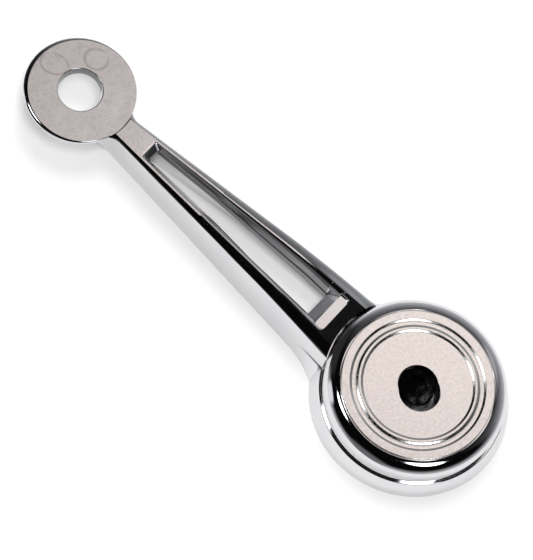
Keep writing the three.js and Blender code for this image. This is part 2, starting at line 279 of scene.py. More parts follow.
# Slot through the arm, its ledge and the hollow back
slot = {
    "start": 86, "end": 31.2, "neckLand": 0.5, "hubLand": 0.42,
    "throatStart": 1.55, "throatHub": 3.5, "throatWideX": 39,
    "flareDepth": 0.75, "flareGrowth": 2.6, "growShares": (0.3, 0.85),
    "throatHeight": 1.9, "throatGrowth": 0.8,
    "endSlope": 2.9, "lip": 0.3, "startSlope": 1.6, "corner": 0.45, "farCorner": 0.8,
    "parting": 0.2, "endParting": 0.32, "partingDrop": 0.008,
    # how far the tool's rings above the surface stand out and up
    "above": (0.05, 0.6), "roll": (0.03, 0.3),
    "rollRun": 0.45, "rollMore": 0.01, "rollDrop": 0.028, "rollTop": 0.002,
    "wallSteps": 70, "roundSteps": 8,
    "neckRound": 0.35, "hubRound": 1.1, "roundFrom": 14, "roundTo": 58, "throatRound": 0.2,
    "ledgeHeight": 9.45, "ledgeLength": 2.6, "ledgeHalf": 5.05, "ledgeRound": 1.1,
    "ledgeOverlap": 0.02, "ledgeOut": 0.05, "ledgeLift": 0.3, "ledgeReach": 0.96,
    "backWall": 1.7, "backNear": 28.2, "backFar": 92, "backCorner": 0.5, "backEdge": 0.15, "backSteps": 24,
}


def slotShare(x):
    return clamp((slot["start"] - x) / (slot["start"] - slot["end"]))


def slotTopHalf(x):
    land = lerp(slot["hubLand"], slot["neckLand"], (1 - slotShare(x)) ** 3)
    return topHalf(x) - land


def throatHalf(x):
    share = clamp((slot["start"] - x) / (slot["start"] - slot["throatWideX"]))
    return lerp(slot["throatStart"], slot["throatHub"], share)


def throatTop(x):
    low, high = slot["growShares"]
    share = clamp((slotShare(x) - low) / (high - low))
    return topHeight(x) - slot["flareDepth"] - slot["flareGrowth"] * share ** 2 * (3 - 2 * share)


def throatBottom(x):
    return throatTop(x) - slot["throatHeight"] - slot["throatGrowth"] * slotShare(x)


# The lip's round grows toward the hub; its run and drop are shares of the slot wall's reach
def lipRound(x):
    return lerp(slot["neckRound"], slot["hubRound"], slotShare(x))


def lipProfile():
    start = math.radians(slot["roundFrom"])
    steps = slot["roundSteps"]
    turns = [math.radians(lerp(slot["roundFrom"], slot["roundTo"], k / steps)) for k in range(steps + 1)]
    return [(math.sin(t) - math.sin(start), math.cos(start) - math.cos(t)) for t in turns]


# One ring of the slot's tool. The roll at the far end lowers the edge there by a hair.
def slotRing(kind, run=0.0, drop=0.0, planeZ=None):
    ring = []
    ledgeEdge = slot["end"] - slot["endSlope"]

    def wall(x):
        wide = slotTopHalf(x)
        reach = wide - throatHalf(x)
        depth = topHeight(x) - throatTop(x)
        if kind in ("above", "roll"):
            out, lift = slot[kind]
            return wide + out, topHeight(x) + lift
        if kind == "round":
            return wide - reach * run * lipRound(x), topHeight(x) - reach * drop * lipRound(x)
        if kind == "throat":
            return throatHalf(x) + drop, topHeight(x) - depth - run
        return throatHalf(x), -past

    farShare = {"round": run * slot["neckRound"], "throat": 1.0, "under": 1.0}.get(kind, 0.0)
    farX = slot["start"] - slot["startSlope"] * farShare
    farLift = 0.0
    if kind == "roll":
        farX += slot["rollRun"]
        farLift = slot["rollTop"] - slot["roll"][1]
    elif kind == "above":
        farX += slot["rollRun"] + slot["rollMore"]
    elif kind == "round":
        farLift = -slot["rollDrop"]
    lowStart = slot["ledgeHeight"] - slot["lip"]
    nearHeight = wall(slot["end"])[1]
    nearShare = clamp((lowStart - nearHeight) / (lowStart - throatTop(slot["end"])))
    nearX = lerp(ledgeEdge, slot["end"], nearShare)
    if kind == "throat" and drop:
        nearX -= slot["endParting"]
    corner = slot["corner"]
    farCorner = slot["farCorner"]
    steps = slot["wallSteps"]
    for k in range(steps + 1):
        x = lerp(farX - farCorner, nearX + corner, k / steps)
        half, height = wall(x)
        ring.append((x, half, height))
    for k in range(1, 90 // turnStep):
        turn = math.radians(90 + turnStep * k)
        x = nearX + corner + corner * math.cos(turn)
        half = wall(nearX + corner)[0]
        ring.append((x, half - corner + corner * math.sin(turn), wall(x)[1]))
    ring.append((nearX, 0, wall(nearX)[1]))
    near = list(reversed([(x, -y, z) for x, y, z in ring[:-1]]))
    ring = ring + near
    farRound = []
    for k in reversed(range(1, 90 // turnStep)):
        turn = math.radians(90 - turnStep * k)
        x = farX - farCorner + farCorner * math.cos(turn)
        half = wall(farX - farCorner)[0]
        farRound.append((x, half - farCorner + farCorner * math.sin(turn), wall(x)[1] + farLift))
    mirrored = list(reversed([(x, -y, z) for x, y, z in farRound]))
    ring = ring + mirrored + [(farX, 0, wall(farX)[1] + farLift)] + farRound
    if planeZ is not None:
        ring = [(x, y, planeZ) for x, y, z in ring]
    return ring


def slotTool():
    rings = [slotRing("above", planeZ=arm["top"] + past), slotRing("above"), slotRing("roll")]
    rings += [slotRing("round", run, drop) for run, drop in lipProfile()]
    rings.append(slotRing("throat", drop=slot["parting"]))
    rings.append(slotRing("throat", slot["partingDrop"]))
    rings.append(slotRing("throat", slot["throatRound"] * 2))
    rings.append(slotRing("under", planeZ=-past))
    return loftPiece("slotTool", rings)


# The flat ledge at the slot's wide end, whose sides roll over as the slot's do
def ledgeTool():
    far = slot["end"] - slot["endSlope"] + slot["ledgeOverlap"]
    radius = slot["ledgeRound"]
    roundX = slot["end"] - slot["endSlope"] - slot["ledgeLength"] + radius
    wide = slotTopHalf(far)
    reach = (wide - throatHalf(far)) * lipRound(far)

    def ring(half, drop, plane=None):
        outline = [(far, -half), (far, half)]
        outline += arc(roundX, half - radius, radius, 90, 180, 90 // turnStep)
        outline += arc(roundX, radius - half, radius, 180, 270, 90 // turnStep)
        return [(x, y, topHeight(x) - drop if plane is None else plane) for x, y in outline]

    rings = [ring(wide + slot["ledgeOut"], 0, arm["top"] + wellPast),
             ring(wide + slot["ledgeOut"], -slot["ledgeLift"])]
    spread = min(1, (wide - slot["ledgeHalf"]) / reach / lipProfile()[-1][0] * slot["ledgeReach"])
    rings += [ring(wide - reach * run * spread, reach * drop * spread) for run, drop in lipProfile()]
    rings.append(ring(slot["ledgeHalf"], 0, slot["ledgeHeight"]))
    return loftPiece("ledgeTool", rings)


def backTool():
    rings = []
    corner = slot["backCorner"]
    edge = slot["backEdge"]
    for k in range(slot["backSteps"] + 1):
        x = lerp(slot["backNear"], slot["backFar"], k / slot["backSteps"])
        high = throatBottom(x)
        roof = shoulderHalf(x) - slot["backWall"]
        foot = baseHalf(x) - slot["backWall"]
        side = [(foot, -past), (roof, high - corner), (roof - edge, high - edge), (roof - corner, high)]
        rings.append([(x, y, z) for y, z in side] + [(x, -y, z) for y, z in reversed(side)])
    return loftPiece("backTool", rings)


# Knob seat at the arm's end, with its tapered hole
seat = {
    "flatRadius": 13.15, "shiftX": 0.5, "shiftY": 0.2, "rim": 1.7, "upper": 0.5, "backInset": 1.1,
    "holeRadius": 5.45, "holeChamfer": 0.25, "holeDraft": 0.3, "topDraftShare": 0.1, "straightShare": 1.5,
    "sides": 224, "holeSides": 160, "roundSteps": 16, "stepRound": 0.3, "flare": 0.1, "flareRise": 0.002,
}


def knobSeat():
    rings = []

    def ring(radius, share, z):
        x = arm["centreDistance"] - seat["shiftX"] * share
        y = -seat["shiftY"] * share
        turns = [math.tau * k / seat["sides"] for k in range(seat["sides"])]
        return [(x + radius * math.cos(t), y + radius * math.sin(t), z) for t in turns]

    middle = arm["seatTop"] - seat["upper"]
    rings.append(ring(seat["flatRadius"] - seat["backInset"], 0, arm["seatTop"] - arm["seatThickness"]))
    for k in range(-seat["roundSteps"], seat["roundSteps"] + 1):
        turn = k / seat["roundSteps"] * math.pi / 2
        share = 1 - math.cos(turn)
        height = seat["upper"] if k > 0 else seat["rim"] - seat["upper"]
        rings.append(ring(lerp(arm["seatRadius"], seat["flatRadius"], share), share if k > 0 else 0,
                          middle + height * math.sin(turn)))
    return loftPiece("knobSeat", rings)


# The top of a turned tool: a round that opens outward, then a flare past the surface
def openedTop(radius, size, low, high, end):
    turns = [math.radians(turnStep * k) for k in range(1, 90 // turnStep)]
    rounded = [(radius + size * (1 - math.cos(turn)), low + size * math.sin(turn)) for turn in turns]
    return rounded + [(radius + size + seat["flare"], high + seat["flareRise"]),
                      (radius + size + 2 * seat["flare"], end)]


def seatHole():
    top = arm["seatTop"]
    low = top - arm["seatThickness"]
    radius = seat["holeRadius"]
    chamfer = seat["holeChamfer"]
    outline = [(radius - seat["holeDraft"], low - past),
               (radius - seat["holeDraft"] * seat["topDraftShare"], top - chamfer * seat["straightShare"])]
    outline += openedTop(radius, chamfer, top - chamfer, top, top + past)
    return turnedPiece("seatHole", outline, seat["holeSides"], x=arm["centreDistance"], solid=True)


def seatStep():
    top = arm["seatTop"]
    radius = arm["seatRadius"]
    lift = seat["stepRound"]
    outline = [(radius, top)] + openedTop(radius, lift, top, top + lift, top + wellPast)
    return turnedPiece("seatStep", outline, x=arm["centreDistance"], solid=True)


# Hub base, in one with the arm
base = {
    "skirtRadius": 24.5, "skirtWall": 2.2, "skirtFoot": 0.4, "floor": 2,
    "bossRadius": 9.4, "registerHeight": 1.3, "registerWall": 1.5, "drumWall": 2, "bore": 7.3,
    "shoulderRound": 0.25, "shoulderTurn": 58, "bulge": 0.25, "steps": 12,
}


def hubBase():
    high = hub["drumBase"]
    register = hub["drumRadius"] - base["drumWall"] - hub["gap"]
    inner = base["skirtRadius"] - base["skirtWall"]
    start = hub["drumRadius"] + hub["gap"]
    outline = [(base["bore"], 0), (base["bossRadius"], 0), (base["bossRadius"], high - base["floor"]),
               (inner, high - base["floor"]), (inner, 0), (base["skirtRadius"] - base["skirtFoot"], 0)]
    shoulder = []
    for k in range(base["steps"] + 1):
        turn = math.radians(k / base["steps"] * base["shoulderTurn"])
        shoulder.append((start + base["shoulderRound"] * math.sin(turn),
                         high - base["shoulderRound"] * (1 - math.cos(turn))))
    coneRadius, coneHeight = shoulder[-1]
    for k in range(1, base["steps"] + 1):
        share = k / base["steps"]
        bulge = base["bulge"] * math.sin(share * math.pi)
        shoulder.append((lerp(coneRadius, base["skirtRadius"], share) + bulge,
                         lerp(coneHeight, base["skirtFoot"], share)))
    outline += reversed(shoulder)
    outline += [(register, high), (register, high + base["registerHeight"]),
                (register - base["registerWall"], high + base["registerHeight"]),
                (register - base["registerWall"], high), (base["bore"], high)]
    return turnedPiece("hubBase", outline)


def rod(radius, low, high):
    return turnedPiece("rod", [(radius, low), (radius, high)], solid=True)


def buildArm():
    piece = loftPiece("arm_casting", [armSection(x) for x in armStations()])
    high = hub["drumBase"]
    within = base["floor"] / 2
    cutOff(piece, rod(hub["drumRadius"] + hub["gap"], high - within / 2, arm["top"] + past))
    cutOff(piece, rod(base["skirtRadius"] - within, -past, high - within))
    cutOff(piece, seatStep())
    addOn(piece, knobSeat())
    addOn(piece, hubBase())
    cutOff(piece, slotTool())
    cutOff(piece, ledgeTool())
    cutOff(piece, backTool())
    cutOff(piece, seatHole())
    finishPiece(piece, "handle", "handle_arm", angle=12)
    return piece


# Hub drum: a round-shouldered cup
drum = {"round": 3.1, "roundTurn": 81.4, "roof": 1.9, "seatGap": 0.3, "rimDrop": 0.14,
        "discThickness": 1.1, "wall": 2, "bore": 7, "foot": 0.1, "steps": 40}


def buildDrum():
    radius = hub["drumRadius"]
    discSeat = hub["faceHeight"] - drum["discThickness"]
    rimTop = hub["faceHeight"] - drum["rimDrop"]
    lastTurn = math.radians(drum["roundTurn"])
    across = (radius - hub["discRadius"] - drum["seatGap"]) / (1 - math.cos(lastTurn))
    outline = [(radius - drum["wall"], hub["drumBase"]), (radius - drum["foot"], hub["drumBase"]),
               (radius, hub["drumBase"] + drum["foot"])]
    for k in range(drum["steps"] + 1):
        turn = k / drum["steps"] * lastTurn
        outline.append((radius - across * (1 - math.cos(turn)),
                        rimTop - drum["round"] * (1 - math.sin(turn) / math.sin(lastTurn))))
    inner = hub["discRadius"] + drum["seatGap"]
    outline += [(inner, discSeat), (drum["bore"], discSeat), (drum["bore"], discSeat - drum["roof"]),
                (radius - drum["wall"], discSeat - drum["roof"])]
    piece = turnedPiece("drum_shell", outline)
    finishPiece(piece, "handle", "hub_drum")
    return piece


# Face disc: low middle, raised ring, raised rim, and a second bore a little out of true
disc = {"thickness": 1.1, "stepDepth": 0.16, "edge": 0.12, "hole": 4.95, "soft": 0.09,
        "shares": [0.7165, 0.741, 0.778, 0.803, 0.861, 0.886],
        "boreRadius": 5.05, "boreShift": 1.65, "boreTurn": 144, "boreSides": 192,
        "boreWiden": 0.08, "widenFrom": 0.06, "widenTo": 0.02}


def buildDisc():
    top = hub["faceHeight"]
    middle = top - disc["stepDepth"]
    radius = hub["discRadius"]
    low = top - disc["thickness"]
    heights = [middle, top, top, middle, middle, top]
    face = [(disc["hole"], middle)] + [(share * radius, z) for share, z in zip(disc["shares"], heights)]
    face += [(radius - disc["edge"], top), (radius, top - disc["edge"])]
    face = softened(face, disc["soft"])
    outline = [(disc["hole"], low)] + face + [(radius, low)]
    piece = turnedPiece("face_plate", list(reversed(outline)))
    turn = math.radians(disc["boreTurn"])
    narrow = disc["boreRadius"]
    wide = narrow + disc["boreWiden"]
    bore = [(narrow, low - past), (narrow, middle - disc["widenFrom"]),
            (wide, middle + disc["widenTo"]), (wide, top + past)]
    cutOff(piece, turnedPiece("bore", bore, disc["boreSides"], x=disc["boreShift"] * math.cos(turn),
                              y=disc["boreShift"] * math.sin(turn), solid=True))
    finishPiece(piece, "handle", "face_disc", angle=40)
    return piece


# Retaining screw with its hexagon socket
screw = {"shank": 3, "tip": 0.8, "seat": 7.75, "head": 4.5, "headHeight": 2.7, "chamfer": 0.45,
         "foot": 0.1, "flats": 4.76, "depth": 1.7, "sides": 128, "chamferSteps": 6,
         # the socket's mouth: depth where it opens, then how far out and up
         "mouthDepth": 0.2, "mouthOut": 0.25, "mouthUp": 0.05, "mouthPast": 0.4}


def buildScrew():
    top = screw["seat"] + screw["headHeight"]
    chamfer = screw["chamfer"]
    outline = [(screw["shank"] - chamfer, screw["tip"]), (screw["shank"], screw["tip"] + chamfer),
               (screw["shank"], screw["seat"]), (screw["head"] - screw["foot"], screw["seat"]),
               (screw["head"], screw["seat"] + screw["foot"])]
    outline += arc(screw["head"] - chamfer, top - chamfer, chamfer, 0, 90, screw["chamferSteps"])
    piece = turnedPiece("socket_screw", outline, screw["sides"], solid=True)
    corner = screw["flats"] / math.sqrt(3)
    hexagon = [(corner, top - screw["depth"]), (corner, top - screw["mouthDepth"]),
               (corner + screw["mouthOut"], top + screw["mouthUp"]),
               (corner + screw["mouthPast"], top + past)]
    cutOff(piece, turnedPiece("socket", hexagon, 6, solid=True))
    finishPiece(piece, "screw", "retaining_screw")
    return piece


# Shader tools: one class wraps a socket, and its operators add Math nodes
class Wire:
    def __init__(self, graph, socket):
        self.graph = graph
        self.socket = socket

    def maths(self, how, first, second):
        return self.graph.node("ShaderNodeMath", {"operation": how}, {0: first, 1: second})

    def __add__(self, other):
        return self.maths("ADD", self, other)

    __radd__ = __add__

    def __sub__(self, other):
        return self.maths("SUBTRACT", self, other)

    def __rsub__(self, other):
        return self.maths("SUBTRACT", other, self)

    def __mul__(self, other):
        return self.maths("MULTIPLY", self, other)

    __rmul__ = __mul__

    def __truediv__(self, other):
        return self.maths("DIVIDE", self, other)

    def __pow__(self, other):
        return self.maths("POWER", self, other)

    def __abs__(self):
        return self.graph.node("ShaderNodeMath", {"operation": "ABSOLUTE"}, {0: self})


def hypot(first, second):
    return (first ** 2.0 + second ** 2.0) ** 0.5


class Graph:
    def __init__(self, owner):
        owner.use_nodes = True
        self.tree = owner.node_tree
        self.tree.nodes.clear()

    def node(self, kind, settings=None, inputs=None, output=0):
        made = self.tree.nodes.new(kind)
        for key, value in (settings or {}).items():
            setattr(made, key, value)
        for key, value in (inputs or {}).items():
            if isinstance(value, Wire):
                self.tree.links.new(value.socket, made.inputs[key])
            else:
                made.inputs[key].default_value = value
        return Wire(self, made.outputs[output]) if made.outputs else made

    def smooth(self, value, start, end):
        return self.node("ShaderNodeMapRange", {"interpolation_type": "SMOOTHSTEP"},
                         {"Value": value, "From Min": start, "From Max": end, "To Min": 0.0, "To Max": 1.0})

    # The same between two places given in millimetres
    def span(self, value, start, end):
        return self.smooth(value, start * mm, end * mm)

    # A straight change from one pair of millimetres to another
    def linear(self, value, before, after):
        return self.node("ShaderNodeMapRange", None, {
            "Value": value, "From Min": before[0] * mm, "From Max": before[1] * mm,
            "To Min": after[0] * mm, "To Max": after[1] * mm})

    def larger(self, first, second):
        return self.node("ShaderNodeMath", {"operation": "MAXIMUM"}, {0: first, 1: second})

    def mixed(self, share, first, second):
        return self.node("ShaderNodeMix", {"data_type": "RGBA"}, {0: share, 6: first, 7: second}, 2)

    def noise(self, coords, scale, detail=3.0, rough=0.5):
        return self.node("ShaderNodeTexNoise", None,
                         {"Vector": coords, "Scale": scale, "Detail": detail, "Roughness": rough}, "Fac")

    def place(self):
        return self.node("ShaderNodeTexCoord", None, None, "Object")

    def parts(self, coords):
        made = self.node("ShaderNodeSeparateXYZ", None, {0: coords})
        split = made.socket.node.outputs
        return [Wire(self, split[k]) for k in range(3)]

    def rays(self, *names):
        outputs = self.node("ShaderNodeLightPath").socket.node.outputs
        return [Wire(self, outputs[name]) for name in names]

    def metal(self, colour, rough, height, bump):
        strength, reach = bump
        normal = self.node("ShaderNodeBump", None,
                           {"Strength": strength, "Distance": reach, "Height": height})
        surface = self.node("ShaderNodeBsdfPrincipled", None, {
            "Metallic": 1.0, "Base Color": colour, "Roughness": rough, "Normal": normal})
        self.node("ShaderNodeOutputMaterial", None, {"Surface": surface})


def newMaterial(name):
    material = bpy.data.materials.new(name)
    return material, Graph(material)


def dress(piece, material):
    if piece.material_slots:
        for held in piece.material_slots:
            held.material = material
    else:
        piece.data.materials.append(material)


# Chrome on the casting. The slot's walls are rougher and painted darker as shade, with a painted
# highlight near both ends; most of the seat's hole, the slot's throat and far end, and the crease at
# the hub are painted dark grey as shade; the seat's flat has fine specks and two faint ejector-pin
# rings. A pair of numbers is where a mask starts and where it is full, in millimetres but for the
# noise ranges and creaseEdge; a noise has its scale, detail and roughness.
armChrome = {
    # The dark grey is painted shade for most of the seat's bore, the slot's throat and far end, and the
    # crease at the hub; the slot walls' grey is painted shade, and their pale end colour a painted highlight
    "colour": (0.72, 0.72, 0.73, 1), "dull": (0.68, 0.68, 0.70, 1), "paintedShade": (0.2, 0.2, 0.21, 1),
    "speck": (0.61, 0.605, 0.61, 1), "ringMark": (0.42, 0.41, 0.41, 1),
    "wall": (0.46, 0.46, 0.47, 1), "paintedEndHighlight": (0.95, 0.95, 0.96, 1),
    "rough": 0.035, "roughMore": 0.05, "wallRough": 0.24,
    "cloudNoise": (90.0,), "cloudRange": (0.35, 0.75),
    "waves": 0.035, "waveNoise": (140.0, 1.0), "grain": 0.001, "grainNoise": (2600.0, 4.0, 0.6),
    "bump": (1.0, mm),
    "speckNoise": (1100.0, 3.0, 0.65), "speckRange": (0.42, 0.72), "speckHeight": (11.2, 11.28),
    # centres and half-sizes of the two rings
    "rings": [((110.7, -8.7), (2.9, 2.65)), ((117.2, -0.6), (3.5, 2.6))],
    "ringTurn": 22, "ringWidth": 0.6, "ringShade": 0.72,
    "ringNoise": (260.0, 2.0), "ringRange": (0.28, 0.52), "ringHeight": (11.25, 11.29),
    "holeAway": (5.60, 5.48), "holeHeight": (11.2, 11.05), "holeX": (103.9, 104.9),
    # two places that fix the line of the lip, from which the walls are measured
    "lipX": (84, 40),
    "wallIn": (-0.05, -0.4), "wallHeight": (11.58, 11.3),
    "wallFarX": (86.05, 85.8), "wallNearX": (28.4, 28.6),
    "partingFade": 0.03, "endPartingFade": 0.06, "partingX": (83.6, 83.0),
    "paleMidX": (50, 76), "paleFarX": (84.2, 83.4), "paleNearX": (32, 31.2), "paintedShadeX": (83.6, 84.4),
    "throatIn": (0.04, 0.01), "throatFarX": (85.5, 84.5), "throatNearX": (31.2, 31.4),
    "creaseDrop": 0.1, "creaseWidth": 0.42, "creaseLeast": 0.02, "creaseWidthX": (36, 21),
    "creaseEdge": (1.0, 0.4), "creaseX": (29, 24), "creaseEndX": (19.9, 20.2), "creaseY": (8.2, 8.5),
}


def ringMarks(graph, place, x, y, z):
    cosTurn = math.cos(math.radians(armChrome["ringTurn"]))
    sinTurn = math.sin(math.radians(armChrome["ringTurn"]))
    rings = 0.0
    for (ringX, ringY), (long, short) in armChrome["rings"]:
        overX = x - ringX * mm
        overY = y - ringY * mm
        away = hypot((overX * cosTurn + overY * sinTurn) / long, (overY * cosTurn - overX * sinTurn) / short)
        rings = rings + graph.span(abs(away - mm), armChrome["ringWidth"] / long, 0.0)
    faded = graph.smooth(graph.noise(place, *armChrome["ringNoise"]), *armChrome["ringRange"])
    return rings * faded * graph.span(z, *armChrome["ringHeight"])


# Painted shade over most of the seat's bore, where its wall mirrors the shadowed floor under the seat
def boreShadeMask(graph, x, y, z):
    away = hypot(x - arm["centreDistance"] * mm, y)
    inHole = graph.span(away, *armChrome["holeAway"]) * graph.span(z, *armChrome["holeHeight"])
    return inHole * graph.span(x, *armChrome["holeX"])


# Masks for painted shade: the slot's walls under the lip, without the bright parting edge, and the throat
# below them
def slotMasks(graph, x, sideways, z):
    throat = graph.linear(x, (slot["start"], slot["throatWideX"]), (slot["throatStart"], slot["throatHub"]))
    lipX = armChrome["lipX"]
    edge = graph.linear(x, lipX, [slotTopHalf(at) for at in lipX])
    walls = graph.span(sideways - edge, *armChrome["wallIn"])
    walls = walls * graph.span(x, *armChrome["wallFarX"]) * graph.span(x, *armChrome["wallNearX"])
    walls = walls * graph.span(z, *armChrome["wallHeight"])
    half = slot["parting"] / 2
    side = abs(sideways - throat - half * mm)
    parting = graph.span(side, half + armChrome["partingFade"], half) * graph.span(x, *armChrome["partingX"])
    end = slot["end"]
    fade = armChrome["endPartingFade"]
    endParting = graph.span(x, end - slot["endParting"] - fade, end - slot["endParting"])
    endParting = endParting * graph.span(x, end + fade, end)
    walls = walls * (1.0 - graph.larger(parting, endParting))
    inThroat = graph.span(sideways - throat, *armChrome["throatIn"])
    inThroat = inThroat * graph.span(x, *armChrome["throatFarX"]) * graph.span(x, *armChrome["throatNearX"])
    return walls, inThroat


# Painted shade: the fine dark line where the arm's side runs into the hub
def creaseShadeMask(graph, x, sideways, z):
    off = abs(z - (hub["drumBase"] - armChrome["creaseDrop"]) * mm)
    wide = graph.span(x, *armChrome["creaseWidthX"]) * armChrome["creaseWidth"] * mm
    wide = wide + armChrome["creaseLeast"] * mm
    crease = graph.smooth(off / wide, *armChrome["creaseEdge"]) * graph.span(x, *armChrome["creaseX"])
    return crease * graph.span(x, *armChrome["creaseEndX"]) * graph.span(sideways, *armChrome["creaseY"])


def armChromeMaterial():
    material, graph = newMaterial("arm chrome")
    paintedShade = armChrome["paintedShade"]
    place = graph.place()
    x, y, z = graph.parts(place)
    sideways = abs(y)
    cloud = graph.noise(place, *armChrome["cloudNoise"])
    clouds = graph.smooth(cloud, *armChrome["cloudRange"])
    specks = graph.smooth(graph.noise(place, *armChrome["speckNoise"]), *armChrome["speckRange"])
    specks = specks * graph.span(z, *armChrome["speckHeight"])
    rings = ringMarks(graph, place, x, y, z) * armChrome["ringShade"]
    walls, inThroat = slotMasks(graph, x, sideways, z)
    # Painted highlight on the slot's walls near both ends, painted shade between them and, darker, past the
    # far end
    pale = graph.span(x, *armChrome["paleMidX"]) * graph.span(x, *armChrome["paleFarX"])
    pale = pale + graph.span(x, *armChrome["paleNearX"])
    wall = graph.mixed(pale, armChrome["wall"], armChrome["paintedEndHighlight"])
    wall = graph.mixed(graph.span(x, *armChrome["paintedShadeX"]), wall, paintedShade)
    colour = graph.mixed(clouds, armChrome["colour"], armChrome["dull"])
    colour = graph.mixed(specks, colour, armChrome["speck"])
    colour = graph.mixed(rings, colour, armChrome["ringMark"])
    # Painted shade: the seat's bore, the crease at the hub and the slot's throat turn dark grey; the slot's
    # walls take their painted grey and pale highlight
    colour = graph.mixed(boreShadeMask(graph, x, y, z), colour, paintedShade)
    colour = graph.mixed(walls, colour, wall)
    colour = graph.mixed(creaseShadeMask(graph, x, sideways, z), colour, paintedShade)
    colour = graph.mixed(inThroat, colour, paintedShade)
    rough = armChrome["rough"] + cloud * armChrome["roughMore"] + walls * armChrome["wallRough"]
    height = graph.noise(place, *armChrome["waveNoise"]) * armChrome["waves"]
    height = height + graph.noise(place, *armChrome["grainNoise"]) * armChrome["grain"]
    graph.metal(colour, rough, height, armChrome["bump"])
    return material


# Chrome on the drum, with faint turning lines
drumChrome = {
    "colour": (0.72, 0.72, 0.73, 1), "dull": (0.68, 0.68, 0.70, 1), "rough": 0.03, "roughMore": 0.05,
    "cloudNoise": (110.0,), "cloudRange": (0.35, 0.8), "lineNoise": (4000.0, 2.0), "linesDown": True,
    "waves": 0.03, "waveNoise": (140.0, 1.0), "grain": 0.0006, "bump": (1.0, mm),
}

# Satin on the disc: fine turned lines and faint mottling
discSatin = {
    "colour": (0.965, 0.943, 0.928, 1), "dull": (0.92, 0.895, 0.878, 1), "rough": 0.125, "roughMore": 0.07,
    "cloudNoise": (1500.0, 4.0, 0.6), "cloudRange": (0.3, 0.8), "lineNoise": (5200.0, 3.0),
    "linesDown": False, "grain": 1.0, "bump": (0.08, 0.00002),
}

# Plain steel of the bush and the washer
steel = {
    "tint": (1.0, 1.0, 1.02), "dullTint": (0.72, 0.73, 0.75), "roughMore": 0.15,
    "cloudNoise": (300.0, 5.0, 0.65), "cloudRange": (0.35, 0.7), "lineNoise": (3500.0, 3.0),
    "linesDown": True, "grain": 1.0, "bump": (0.25, 0.00003),
}
bushSteel = {"tone": 0.5, "rough": 0.3}
washerSteel = {"tone": 0.45, "rough": 0.25}


def steelLook(own):
    tints = {"colour": steel["tint"], "dull": steel["dullTint"]}
    colours = {key: [own["tone"] * part for part in tint] + [1] for key, tint in tints.items()}
    return {**steel, **colours, "rough": own["rough"]}


# Turned metal: clouds in its colour and gloss, and fine lines that run round the Z axis
def turnedMetal(name, look):
    material, graph = newMaterial(name)
    place = graph.place()
    x, y, z = graph.parts(place)
    cloud = graph.noise(place, *look["cloudNoise"])
    across = {0: hypot(x, y)}
    if look["linesDown"]:
        across[1] = z
    lines = graph.noise(graph.node("ShaderNodeCombineXYZ", None, across), *look["lineNoise"])
    height = lines * look["grain"]
    if "waves" in look:
        height = graph.noise(place, *look["waveNoise"]) * look["waves"] + height
    colour = graph.mixed(graph.smooth(cloud, *look["cloudRange"]), look["colour"], look["dull"])
    graph.metal(colour, look["rough"] + cloud * look["roughMore"], height, look["bump"])
    return material


# Black oxide on the screw, with worn patches, and painted glints: lighter grey patches on the side away from
# the arm
screwBlack = {
    "colour": (0.006, 0.006, 0.007, 1), "worn": (0.05, 0.05, 0.052, 1), "paintedGlint": (0.17, 0.17, 0.165, 1),
    "rough": 0.32, "roughMore": 0.2, "grainNoise": (1500.0, 6.0, 0.7), "bump": (0.5, 0.00005),
    "wornNoise": (500.0, 3.0), "wornRange": (0.58, 0.75),
    "paintedGlintNoise": (620.0, 4.0, 0.7), "paintedGlintRange": (0.47, 0.62), "paintedGlintX": (0.4, -2.6),
}


def screwMaterial():
    material, graph = newMaterial("screw black")
    place = graph.place()
    x, y, z = graph.parts(place)
    patches = graph.noise(place, *screwBlack["wornNoise"])
    worn = graph.smooth(patches, *screwBlack["wornRange"])
    # Painted glints: lighter grey patches on the screw's side away from the arm
    paintedGlint = graph.smooth(graph.noise(place, *screwBlack["paintedGlintNoise"]), *screwBlack["paintedGlintRange"])
    paintedGlint = paintedGlint * graph.span(x, *screwBlack["paintedGlintX"])
    colour = graph.mixed(worn, screwBlack["colour"], screwBlack["worn"])
    colour = graph.mixed(paintedGlint, colour, screwBlack["paintedGlint"])
    rough = screwBlack["rough"] + patches * screwBlack["roughMore"]
    graph.metal(colour, rough, graph.noise(place, *screwBlack["grainNoise"]), screwBlack["bump"])
    return material


dress(buildArm(), armChromeMaterial())
dress(buildDrum(), turnedMetal("drum chrome", drumChrome))
dress(buildDisc(), turnedMetal("disc satin", discSatin))
dress(buildScrew(), screwMaterial())
dress(nodes["splined_bush"], turnedMetal("bush steel", steelLook(bushSteel)))
dress(nodes["lock_washer"], turnedMetal("washer steel", steelLook(washerSteel)))
print("pieces dressed")

# Floor: pale paper with a little glow of its own, for the rays that see it straight or in a mirror
floor = {"size": 6.0, "tone": 0.96, "shown": 0.9, "shownShare": 0.22}


def buildFloor():
    letGo()
    bpy.ops.mesh.primitive_plane_add(size=floor["size"], location=(0, 0, 0))
    piece = bpy.context.active_object
    piece.name = "floor"
    material, graph = newMaterial("floor white")
    tone = floor["tone"]
    paper = graph.node("ShaderNodeBsdfDiffuse", None, {"Color": (tone, tone, tone, 1)})
    straight, glossy, through = graph.rays("Is Camera Ray", "Is Glossy Ray", "Is Transmission Ray")
    seen = graph.larger(straight, graph.larger(glossy, through))
    glow = graph.node("ShaderNodeEmission", None, {"Color": (1, 1, 1, 1), "Strength": floor["shown"]})
    both = graph.node("ShaderNodeMixShader", None, {0: seen * floor["shownShare"], 1: paper, 2: glow})
    graph.node("ShaderNodeOutputMaterial", None, {"Surface": both})
    dress(piece, material)


buildFloor()

